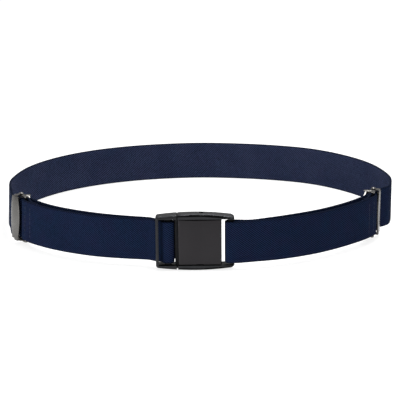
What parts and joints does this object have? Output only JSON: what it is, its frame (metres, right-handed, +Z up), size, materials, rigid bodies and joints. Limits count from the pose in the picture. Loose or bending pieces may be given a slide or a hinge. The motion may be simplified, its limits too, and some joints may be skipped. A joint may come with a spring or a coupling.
{
  "type": "elastic stretch belt",
  "caption": "Navy elastic webbing belt with a flat two-part magnetic buckle in dark metal and a nickel lever adjuster on each side, fastened and standing on edge.",
  "frame": {"origin": "middle of the ground the belt covers, on the floor it stands on", "axes": "+X towards the wearer's left, the loop's long way; -Y towards the buckle at the front; +Z up, across the strap"},
  "size_m": [0.2438, 0.1944, 0.0341],
  "materials": {
    "webbing": "dark navy ribbed elastic webbing",
    "buckle": "satin gunmetal",
    "plate": "matt gunmetal",
    "nickel": "bright nickel plate"
  },
  "bodies": {
    "belt": {"strap": "webbing", "tongue_frame": "buckle", "housing_frame": "buckle", "face_plate": "plate", "left_adjuster_frame": "nickel", "left_adjuster_upper_rivet": "nickel", "left_adjuster_lower_rivet": "nickel", "right_adjuster_frame": "nickel", "right_adjuster_upper_rivet": "nickel", "right_adjuster_lower_rivet": "nickel"},
    "left_lever": {"left_adjuster_lever": "nickel"},
    "right_lever": {"right_adjuster_lever": "nickel"}
  },
  "joints": [
    {"name": "left_lever_hinge", "type": "hinge", "parent": "belt", "child": "left_lever", "pos_m": [-0.10991, -0.04196, 0.01633], "axis": [0.0453, 0.0367, 0.9983], "range_deg": [0, 75]},
    {"name": "right_lever_hinge", "type": "hinge", "parent": "belt", "child": "right_lever", "pos_m": [0.10683, -0.03743, 0.01636], "axis": [0, 0, 1], "range_deg": [-75, 0]}
  ]
}
